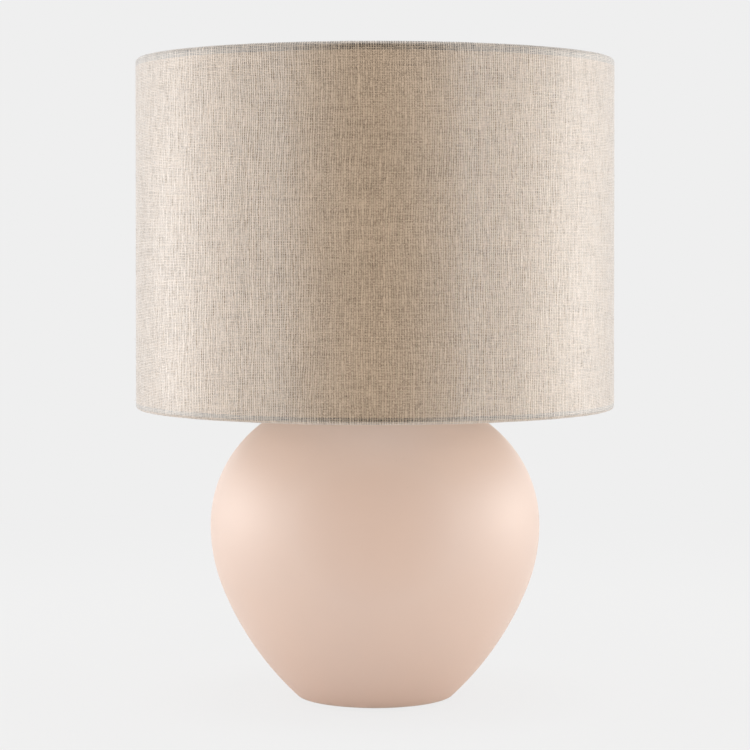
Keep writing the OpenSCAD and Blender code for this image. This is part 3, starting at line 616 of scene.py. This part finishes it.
def arc(centre, radius, start, end, count=12):
    """Points on an arc, with angles in degrees."""
    return [(centre[0] + radius * math.cos(math.radians(start + (end - start) * i / count)),
             centre[1] + radius * math.sin(math.radians(start + (end - start) * i / count)))
            for i in range(count + 1)]


def stands_for(obj, body, slot, *nodes):
    """The piece rides on a body and stands for CAD nodes. The slot is not used."""
    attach(obj, body)
    if nodes:
        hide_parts(*nodes)


def join_into(obj, other):
    """Takes another object's mesh into the first and drops the other."""
    shape = bmesh.new()
    shape.from_mesh(obj.data)
    shape.from_mesh(other.data)
    shape.to_mesh(obj.data)
    shape.free()
    bpy.data.objects.remove(other)


def refinish(name, material):
    """A CAD node that is kept, in a finished material."""
    for slot in NODES[name].material_slots:
        slot.material = MATERIALS[material]


# ---------------------------------------------------------------- the body

# the outline is three arcs, each about a centre given as (radius, height), and the wall lies inside it
SHOULDER, BELLY = (25.0, 108.5), (-1.5, 108.5)
SHOULDER_R, BELLY_R, FLANK_R, BELLY_SWEEP, WALL = 78.5, 105.0, 190.0, 22.0, 6.0
FLANK = (BELLY[0] + (BELLY_R - FLANK_R) * math.cos(math.radians(BELLY_SWEEP)),
         BELLY[1] - (BELLY_R - FLANK_R) * math.sin(math.radians(BELLY_SWEEP)))
FELT_TOP, PLATE_R, PLATE_TOP, LEDGE_R, LEDGE_TOP = 1.0, 42.0, 4.05, 39.0, 7.05
NECK_R, NECK_TOP, NECK_WALL, NECK_INSIDE_R, PIPE_BORE = 20.0, 199.0, 6.0, 14.0, 5.6
FOOT_R, LIP_R, COLLAR_R, FLOOR_INSIDE = 2.5, 1.5, 6.0, 12.0
# the rod that cuts the outlet reaches from inside the wall to outside it
OUTLET_Z, OUTLET_R, OUTLET_SIDES, OUTLET_INSIDE, OUTLET_OUTSIDE = 24.0, 5.0, 32, -12.0, 6.0
# the glaze stops above the foot ring and doesn't reach inside, except in the neck's mouth
GLAZE_LINE, FOOT_INSIDE_R, GLAZED_FROM = 1.9, 38.9, 190.0


def ceramic_section():
    """The wall's section, from the neck's bore down the outside, under the foot and up the inside."""
    turn = -math.degrees(math.asin((FLANK[1] - FELT_TOP - FOOT_R) / (FLANK_R - FOOT_R)))
    foot = (FLANK[0] + (FLANK_R - FOOT_R) * math.cos(math.radians(turn)), FELT_TOP + FOOT_R)
    inside_end = -math.degrees(math.asin((FLANK[1] - FLOOR_INSIDE) / (FLANK_R - WALL)))
    section = [(PIPE_BORE, NECK_TOP)]
    section += arc((NECK_R - LIP_R, NECK_TOP - LIP_R), LIP_R, 90, 0, 6)
    section += arc((NECK_R + COLLAR_R, SHOULDER[1] + SHOULDER_R + COLLAR_R), COLLAR_R, 180, 270, 10)
    section += arc(SHOULDER, SHOULDER_R, 88, 0, 44)
    section += arc(BELLY, BELLY_R, -1.5, -BELLY_SWEEP, 14)
    section += arc(FLANK, FLANK_R, -BELLY_SWEEP - 1, turn, 20)
    section += arc(foot, FOOT_R, turn - 8, -90, 6)
    section += [(PLATE_R + 0.05, FELT_TOP), (PLATE_R + 0.05, PLATE_TOP), (LEDGE_R, PLATE_TOP),
                (LEDGE_R, LEDGE_TOP)]
    section += arc(FLANK, FLANK_R - WALL, inside_end, -BELLY_SWEEP - 1, 12)
    section += arc(BELLY, BELLY_R - WALL, -BELLY_SWEEP, -1, 8)
    section += arc(SHOULDER, SHOULDER_R - WALL, 0, 90, 20)
    section += [(NECK_INSIDE_R, SHOULDER[1] + SHOULDER_R - WALL), (NECK_INSIDE_R, NECK_TOP - NECK_WALL),
                (PIPE_BORE, NECK_TOP - NECK_WALL)]
    return section + section[:1]


def make_outlet_drill():
    """The rod that cuts the cord's outlet, square to the flank at the back."""
    tilt = math.asin((FLANK[1] - OUTLET_Z) / FLANK_R)
    mouth = Vector((0.0, FLANK[0] + FLANK_R * math.cos(tilt), OUTLET_Z)) * MM
    way = Vector((0.0, math.cos(tilt), -math.sin(tilt)))
    side = Vector((1.0, 0.0, 0.0))
    other = way.cross(side)
    count = OUTLET_SIDES
    points = [mouth + way * along * MM + (side * math.cos(a) + other * math.sin(a)) * OUTLET_R * MM
              for along in (OUTLET_INSIDE, OUTLET_OUTSIDE) for a in (TAU * i / count for i in range(count))]
    faces = [(i, (i + 1) % count, count + (i + 1) % count, count + i) for i in range(count)]
    faces += [tuple(range(count - 1, -1, -1)), tuple(range(count, 2 * count))]
    drill = mesh_object("outlet_drill", points, faces)
    drill.data.materials.append(MATERIALS["bisque"])
    point_outwards(drill)
    return drill


def make_body():
    """The hollow body: glazed outside, bare clay under the foot, inside and in the outlet."""
    body = turned("glazed_body", ceramic_section(), "ceramic", 240, 35.0)
    drill = make_outlet_drill()
    cut = body.modifiers.new("outlet", "BOOLEAN")
    cut.operation, cut.object, cut.solver, cut.material_mode = "DIFFERENCE", drill, "EXACT", "TRANSFER"
    apply_steps(body)
    bpy.data.objects.remove(drill)
    body.data.set_sharp_from_angle(angle=math.radians(35))
    bare = list(body.data.materials).index(MATERIALS["bisque"])
    for face in body.data.polygons:
        out = Vector((face.center.x, face.center.y, 0.0))
        faces_in = face.normal.dot(out) < -0.001
        below_neck = face.center.z < GLAZED_FROM * MM
        if face.center.z < GLAZE_LINE * MM or below_neck and (faces_in or out.length < FOOT_INSIDE_R * MM):
            face.material_index = bare
    stands_for(body, "base", "ceramic", "ceramic_body")


# ---------------------------------------------------------------- the shade

SHADE_R, SHADE_LOW, SHADE_TOP = 150.0, 182.0, 400.0
LINEN_T = 0.6
LINEN_R = SHADE_R - LINEN_T / 2
# the hem rolls round a ring wire, whose middle is this far from the lamp's axis
ROLL_R = 2.15
RING_MID = SHADE_R - ROLL_R
ARM_TURNS, SLIT_HALF_WIDTH = (90.0, 210.0, 330.0), 3.0
LAP, LAP_RISE, LAP_GAP = 14.0, 8.0, 0.08
LINEN_COLUMNS = 420
# how far the cloth drifts all over, puckers near its hems and waves along its edges
DRIFT, PUCKER, PUCKER_REACH, EDGE_WAVE, EDGE_REACH = 0.10, 0.14, 8.0, 0.10, 2.5
MIDDLE = 300.0


def hem_line():
    """The middle of the cloth's thickness, from the lower hem's end, out, up and over to the upper's."""
    tuck = SHADE_R - 2 * LINEN_T - 0.7 - LINEN_T / 2
    low, top = SHADE_LOW + ROLL_R, SHADE_TOP - ROLL_R
    roll = ROLL_R - LINEN_T / 2
    path = [(tuck, low + 9.0), (tuck, low + 7.5), (tuck, low + 6.2), (tuck, low + 4.9),
            (tuck - 1.2, low + 2.9)]
    path += [(RING_MID + roll * math.cos(math.radians(a)), low + roll * math.sin(math.radians(a)))
             for a in range(150, 361, 15)]
    path += [(LINEN_R, low + h) for h in (1.0, 2.0, 3.0, 4.0, 5.0)]
    path += [(LINEN_R, low + 5.0 + (top - low - 10.0) * i / 30) for i in range(1, 31)]
    path += [(LINEN_R, top - h) for h in (4.0, 3.0, 2.0, 1.0)]
    path += [(RING_MID + roll * math.cos(math.radians(a)), top + roll * math.sin(math.radians(a)))
             for a in range(0, 211, 15)]
    path += [(tuck - 1.2, top - 2.9), (tuck, top - 4.9), (tuck, top - 6.2), (tuck, top - 7.5),
             (tuck, top - 9.0)]
    return path


def make_linen():
    """One strip of linen round both rings, its end lapped over its start at the back."""
    path = hem_line()
    lengths = [0.0]
    for a, b in zip(path, path[1:]):
        lengths.append(lengths[-1] + math.dist(a, b))
    around = TAU * LINEN_R
    total = around + LAP
    start = math.radians(90.0) - LAP / 2 / SHADE_R
    points, flats = [], []
    for c in range(LINEN_COLUMNS + 1):
        s = total * c / LINEN_COLUMNS
        angle = start + s / LINEN_R
        over = max(0.0, min(1.0, (s - around + LAP_RISE) / LAP_RISE))
        lift = (LINEN_T + LAP_GAP) * over * over * (3 - 2 * over)
        for (r, z), length in zip(path, lengths):
            drift = DRIFT * noise.noise(Vector((math.cos(angle) * 9, math.sin(angle) * 9, z * 0.02)))
            pucker = wave = 0.0
            edge = min(z - SHADE_LOW, SHADE_TOP - z)
            if edge < PUCKER_REACH:
                pucker = PUCKER * noise.noise(Vector((s * 0.35, z * 0.12, 3.0))) * (1 - edge / PUCKER_REACH)
            if edge < EDGE_REACH:
                wave = EDGE_WAVE * noise.noise(Vector((s * 0.09, 0.0, 9.0 + (z > MIDDLE))))
            outer = r > RING_MID
            reach = r + (drift + pucker + lift if outer else -lift if edge > EDGE_REACH else 0.0)
            points.append(Vector((reach * math.cos(angle), reach * math.sin(angle), z + wave)) * MM)
            flats.append((s * MM, length * MM))
    rows = len(path)
    faces, shaded_hems = [], []
    for c in range(LINEN_COLUMNS):
        angle = math.degrees(start + total * (c + 0.5) / LINEN_COLUMNS / LINEN_R)
        slit = any(abs((angle - turn + 180) % 360 - 180) * math.pi / 180 * SHADE_R < SLIT_HALF_WIDTH
                   for turn in ARM_TURNS)
        for k in range(rows - 1):
            z = (path[k][1] + path[k + 1][1]) / 2
            inner = (path[k][0] + path[k + 1][0]) / 2 < RING_MID + 0.3
            if slit and inner and z > MIDDLE:
                continue
            a = c * rows + k
            faces.append((a, a + 1, a + rows + 1, a + rows))
            # painted shade: the unbacked cloth, the inner flaps and the bands over the rings, takes the
            # darker hem finish
            shaded_hems.append(inner or SHADE_LOW + 1.6 < z < SHADE_LOW + 4.2 or z > SHADE_TOP - 4.8)
    cloth = mesh_object("linen_shade", points, faces)
    cloth.data.materials.append(MATERIALS["linen"])
    cloth.data.materials.append(MATERIALS["linen_hem"])
    layer = cloth.data.uv_layers.new(name="cloth")
    for face, hem in zip(cloth.data.polygons, shaded_hems):
        face.material_index = 1 if hem else 0
        face.use_smooth = True
        for corner in face.loop_indices:
            layer.data[corner].uv = flats[cloth.data.loops[corner].vertex_index]
    thick = cloth.modifiers.new("thickness", "SOLIDIFY")
    thick.thickness, thick.offset, thick.use_even_offset = LINEN_T * MM, 0.0, True
    apply_steps(cloth)
    stands_for(cloth, "shade", "linen", "shade_linen")


# ---------------------------------------------------------------- the foot's felt

FELT_R, FELT_LOW, FELT_EVEN_R, FELT_RAGGED = 44.0, 0.02, 40.0, 0.12


def make_felt():
    """A die-cut disc of wool felt stuck under the foot plate, a little soft at its edge."""
    felt = turned("felt_disc", [
        (0.0, FELT_LOW), (FELT_R - 0.5, FELT_LOW), (FELT_R - 0.1, 0.2), (FELT_R, 0.5), (FELT_R - 0.1, 0.85),
        (FELT_R - 0.5, FELT_TOP), (0.0, FELT_TOP)], "felt", 144, 60)
    for vertex in felt.data.vertices:
        out = Vector((vertex.co.x, vertex.co.y, 0.0))
        if out.length > FELT_EVEN_R * MM:
            ragged = noise.noise(vertex.co * 900.0) * FELT_RAGGED * MM
            vertex.co += out.normalized() * min(ragged, 0.0)
    stands_for(felt, "base", "felt", "felt_pad")


# ---------------------------------------------------------------- the bulb and the stud

BULB_BASE_Z, BULB_BASE_TOP, BULB_PITCH = 251.2, 271.0, 3.63
STUD_PITCH = 0.9407
LEAD_THICKNESS, LEAD_SIDES = 0.55, 10


def make_bulb_cap():
    """The bulb's rolled aluminium cap: a true helical thread between a plain foot and a crimped rim."""
    root, crest, low, high = 12.3, 12.9, BULB_BASE_Z + 0.9, BULB_BASE_TOP - 2.6
    sleeve = turned("bulb_cap", [(0.0, BULB_BASE_Z + 0.05), (11.0, BULB_BASE_Z + 0.05), (root, low)],
                    "bulb_metal", 64)
    rim = turned("bulb_cap_rim", [
        (root, high), (crest - 0.25, high + 0.5), (crest, high + 1.0), (crest, BULB_BASE_TOP - 0.2),
        (crest - 0.2, BULB_BASE_TOP), (12.55, BULB_BASE_TOP), (12.05, high), (12.0, low + 1.2),
        (11.4, low + 0.6), (0.0, low + 0.6)], "bulb_metal", 64)
    join_into(sleeve, rim)
    grow(sleeve, "thread", "bulb_metal", Radius=crest * MM, Depth=(crest - root) * MM,
         Pitch=BULB_PITCH * MM, Length=(high - low) * MM, Bottom=low * MM, Segments=64, Rows=88)
    stands_for(sleeve, "bulb", "bulb_metal", "bulb_screw_base")


def make_leads():
    """Nickel wires from the glass mount to both ends of each glowing strip."""
    upper = ((1.1, 303.9), (3.2, 306.4), (6.4, 312.2), (9.3, 317.4), (10.2, 318.2), (10.42, 317.6),
             (10.4, 316.6))
    lower = ((2.7, 276.5), (4.4, 277.4), (6.4, 279.4), (7.6, 281.6), (8.02, 283.4))
    points, edges = [], []
    for turn in (45, 135, 225, 315):
        c, d = math.cos(math.radians(turn)), math.sin(math.radians(turn))
        for path in (upper, lower):
            first = len(points)
            points += [Vector((r * c, r * d, z)) * MM for r, z in path]
            edges += [(first + k, first + k + 1) for k in range(len(path) - 1)]
    leads = grow(mesh_object("filament_leads", points, edges=edges), "wire", "nickel", 60,
                 Thickness=LEAD_THICKNESS * MM, Sides=LEAD_SIDES)
    stands_for(leads, "bulb", "bulb_metal")


def make_stud():
    """The screw on top of the harp: a riveted tail, a flange and a fine rolled thread."""
    flange, crest, root, low, top = 384.4, 3.17, 2.8, 384.7, 395.6
    stud = turned("harp_screw", [
        (0.0, 377.6), (2.2, 377.65), (3.2, 377.95), (3.8, 378.4), (4.0, 378.8), (4.0, 379.2), (2.5, 379.2),
        (2.5, 382.8), (5.7, 382.8), (6.0, 383.1), (6.0, flange - 0.3), (5.7, flange), (root, flange),
        (root, low)], "brass", 64)
    tip = turned("harp_screw_tip", [(root, top), (2.3, 396.0), (0.0, 396.0)], "brass", 40)
    join_into(stud, tip)
    grow(stud, "thread", "brass", Radius=crest * MM, Depth=(crest - root) * MM, Pitch=STUD_PITCH * MM,
         Length=(top - low) * MM, Bottom=low * MM, Segments=40, Rows=112)
    stands_for(stud, "stud", "brass", "harp_stud")


# the hairs are rooted just under the cloth's face
FIBRES_PER_SQUARE_METRE, FIBRE_LENGTH, FIBRE_WIDTH, FIBRE_ROOT = 2600.0, 2.6, 0.045, 0.02


def make_loose_fibres():
    """Ends of flax that stand off the linen."""
    root = SHADE_R - FIBRE_ROOT
    skin = turned("loose_flax", [(root, SHADE_LOW + 3.0), (root, SHADE_TOP - 3.0)], "flax", 96)
    grow(skin, "fibres", "flax", Density=FIBRES_PER_SQUARE_METRE, Fibre_Length=FIBRE_LENGTH * MM,
         Fibre_Width=FIBRE_WIDTH * MM, Seed=11)
    stands_for(skin, "shade", "linen")


# ---------------------------------------------------------------- light and floor

WHITE, WARM_WHITE = (1.0, 1.0, 1.0), (1.0, 0.995, 0.97)
PALE = 0.863
# the light from all round is strongest from level and weaker from above and below
HORIZON_LIGHT, ZENITH_LIGHT = 1.48, 0.76
# the paper lies a hair under the foot, and takes this share of the light within these distances
FLOOR_HALF, FLOOR_DROP, STANDING_ON_IT = 9.0, 0.0002, 0.002
SHADOW_SHARE, SHADOW_LIGHT, SHADOW_NEAR, SHADOW_FAR = 0.10, 0.09, 0.5, 1.0
BOX_AWAY, BOX_HEIGHT, BOX_AIM, BOX_SIZE = 1.3, 0.25, 0.22, (0.5, 0.46)


def area_light(name, place, aim, size, power, colour=WHITE):
    """A softbox that shines on the lamp and doesn't show itself."""
    lamp = bpy.data.lights.new(name, "AREA")
    lamp.shape = "RECTANGLE"
    lamp.size, lamp.size_y = size
    lamp.energy, lamp.color = power, colour
    made = bpy.data.objects.new(name, lamp)
    made.location = place
    made.visible_camera = False
    made.rotation_euler = (Vector(aim) - Vector(place)).to_track_quat("-Z", "Y").to_euler()
    bpy.context.scene.collection.objects.link(made)


def set_up_air():
    """A plain pale backdrop, whose light is strongest from level."""
    world = bpy.data.worlds.new("studio_air")
    tree = empty_tree(world)
    seen = put(tree, "ShaderNodeLightPath").outputs["Is Camera Ray"]
    way = put(tree, "ShaderNodeTexCoord").outputs["Generated"]
    up = sums(tree, "ABSOLUTE", put(tree, "ShaderNodeSeparateXYZ", {0: way}).outputs[2])
    level = remap(tree, up, 0.15, 0.45, HORIZON_LIGHT, ZENITH_LIGHT)
    fill = put(tree, "ShaderNodeBackground", {"Color": (1.0, 0.99, 0.98, 1.0), "Strength": level})
    back = put(tree, "ShaderNodeBackground", {"Color": (PALE, PALE, PALE, 1.0), "Strength": 1.0})
    mix = put(tree, "ShaderNodeMixShader", {0: seen, 1: fill.outputs[0], 2: back.outputs[0]})
    put(tree, "ShaderNodeOutputWorld", {0: mix.outputs[0]})
    bpy.context.scene.world = world


def set_up_floor():
    """Pale paper that blends into the backdrop and takes the lamp's faint shadow."""
    floor = mesh_object("studio_floor", [
        (x * FLOOR_HALF, y * FLOOR_HALF, -FLOOR_DROP) for x, y in ((-1, -1), (1, -1), (1, 1), (-1, 1))],
        [(0, 1, 2, 3)])
    paper = bpy.data.materials.new("pale_floor")
    tree = empty_tree(paper)
    rays = put(tree, "ShaderNodeLightPath").outputs
    matte = put(tree, "ShaderNodeBsdfDiffuse", {"Color": (0.90, 0.90, 0.90, 1.0)})
    # only the paper near the lamp takes its shadow, so the lights themselves leave no pool on it
    away = put(tree, "ShaderNodeVectorMath", {0: own_place(tree)}, operation="LENGTH").outputs["Value"]
    near = remap(tree, away, SHADOW_NEAR, SHADOW_FAR, 1.0, 0.0)
    thin = put(tree, "ShaderNodeBsdfDiffuse", {"Color": sums(tree, "MULTIPLY", near, SHADOW_SHARE)})
    glow = put(tree, "ShaderNodeEmission", {
        "Color": (*WHITE, 1.0),
        "Strength": sums(tree, "SUBTRACT", PALE, sums(tree, "MULTIPLY", near, SHADOW_LIGHT))})
    both = put(tree, "ShaderNodeAddShader", {0: thin.outputs[0], 1: glow.outputs[0]})
    mix = put(tree, "ShaderNodeMixShader", {
        0: rays["Is Camera Ray"], 1: matte.outputs[0], 2: both.outputs[0]})
    # open from underneath, and to the foot standing on it, so the felt can be looked at from below
    below = sums(tree, "MAXIMUM", put(tree, "ShaderNodeNewGeometry").outputs["Backfacing"],
                 sums(tree, "LESS_THAN", rays["Ray Length"], STANDING_ON_IT))
    opened = put(tree, "ShaderNodeMixShader", {
        0: below, 1: mix.outputs[0], 2: put(tree, "ShaderNodeBsdfTransparent").outputs[0]})
    put(tree, "ShaderNodeOutputMaterial", {"Surface": opened.outputs[0]})
    floor.data.materials.append(paper)


def set_up_lights():
    """One softbox overhead and two on each side; turns are in degrees from the front."""
    area_light("overhead_softbox", (0.0, -0.1, 1.7), (0.0, 0.0, 0.2), (1.0, 1.0), 4.2)
    for side, name, colour in ((-1, "left", WHITE), (1, "right", WARM_WHITE)):
        for turn, power, part in ((79, 1.6, "front"), (104, 3.3, "back")):
            way = math.radians(turn)
            place = (side * BOX_AWAY * math.sin(way), -BOX_AWAY * math.cos(way), BOX_HEIGHT)
            area_light(f"{name}_{part}_softbox", place, (0.0, 0.0, BOX_AIM), BOX_SIZE, power, colour)


# ---------------------------------------------------------------- putting it together

KEPT = {
    "brass": ["neck_cap", "harp_saddle", "upper_hex_nut", "socket_cap", "socket_centre_contact",
              "socket_screw_shell", "socket_shell", "harp_frame", "harp_ferrule_left", "harp_ferrule_right",
              "spider_washer", "finial_insert", "finial_knob"],
    "zinc_steel": ["threaded_nipple", "lower_steel_washer", "lower_hex_nut", "socket_set_screw",
                   "terminal_screws", "switch_stem"],
    "white_wire": ["spider_arms", "shade_top_ring", "shade_bottom_ring"],
    "fibre": ["lower_fibre_washer", "upper_fibre_washer"],
    "bakelite": ["socket_interior", "switch_knob"],
    "glass": ["bulb_stem", "bulb_glass"],
    "fibreboard": ["foot_plate"],
    "nylon": ["cord_grommet"],
    "board": ["insulating_sleeve"],
    "bulb_metal": ["bulb_contact"],
    "vitrite": ["bulb_insulator"],
    "phosphor": ["bulb_filaments"],
    "backing": ["shade_backing"],
}

set_up_camera()
for finish_name, node_names in KEPT.items():
    for node_name in node_names:
        refinish(node_name, finish_name)
make_body()
make_felt()
make_linen()
make_loose_fibres()
make_bulb_cap()
make_leads()
make_stud()
set_up_air()
set_up_floor()
set_up_lights()
